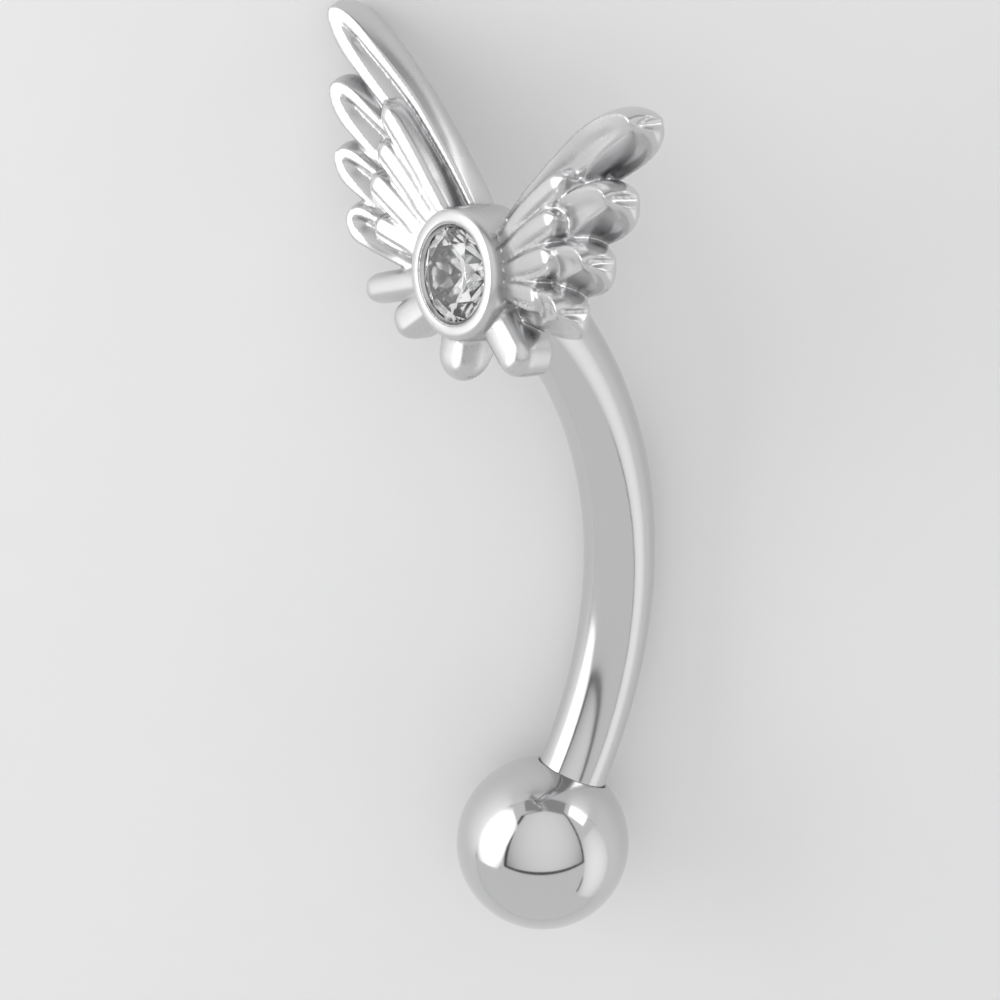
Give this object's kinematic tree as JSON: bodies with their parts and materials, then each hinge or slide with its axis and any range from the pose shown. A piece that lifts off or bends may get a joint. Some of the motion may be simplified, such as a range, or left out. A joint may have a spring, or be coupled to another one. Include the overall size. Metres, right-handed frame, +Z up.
{
  "type": "curved eyebrow barbell",
  "caption": "Curved steel barbell for a brow piercing, with a plain ball on one end and a cast winged top that holds a round clear stone on the other.",
  "frame": {"origin": "middle of the footprint, on the surface that the piece lies on", "axes": "+Z up from the surface, +Y from the winged top towards the ball, +X to the side that the left wing's tip rests on"},
  "size_m": [0.007, 0.0158, 0.0057],
  "materials": {
    "bar_steel": "polished surgical steel",
    "ball_steel": "mirror-polished surgical steel",
    "cast_steel": "polished cast steel with softly rounded feathers",
    "clear_stone": "clear faceted round brilliant"
  },
  "bodies": {
    "root": {"curved_bar": "bar_steel", "ball": "ball_steel", "winged_setting": "cast_steel", "stone": "clear_stone"}
  },
  "joints": []
}
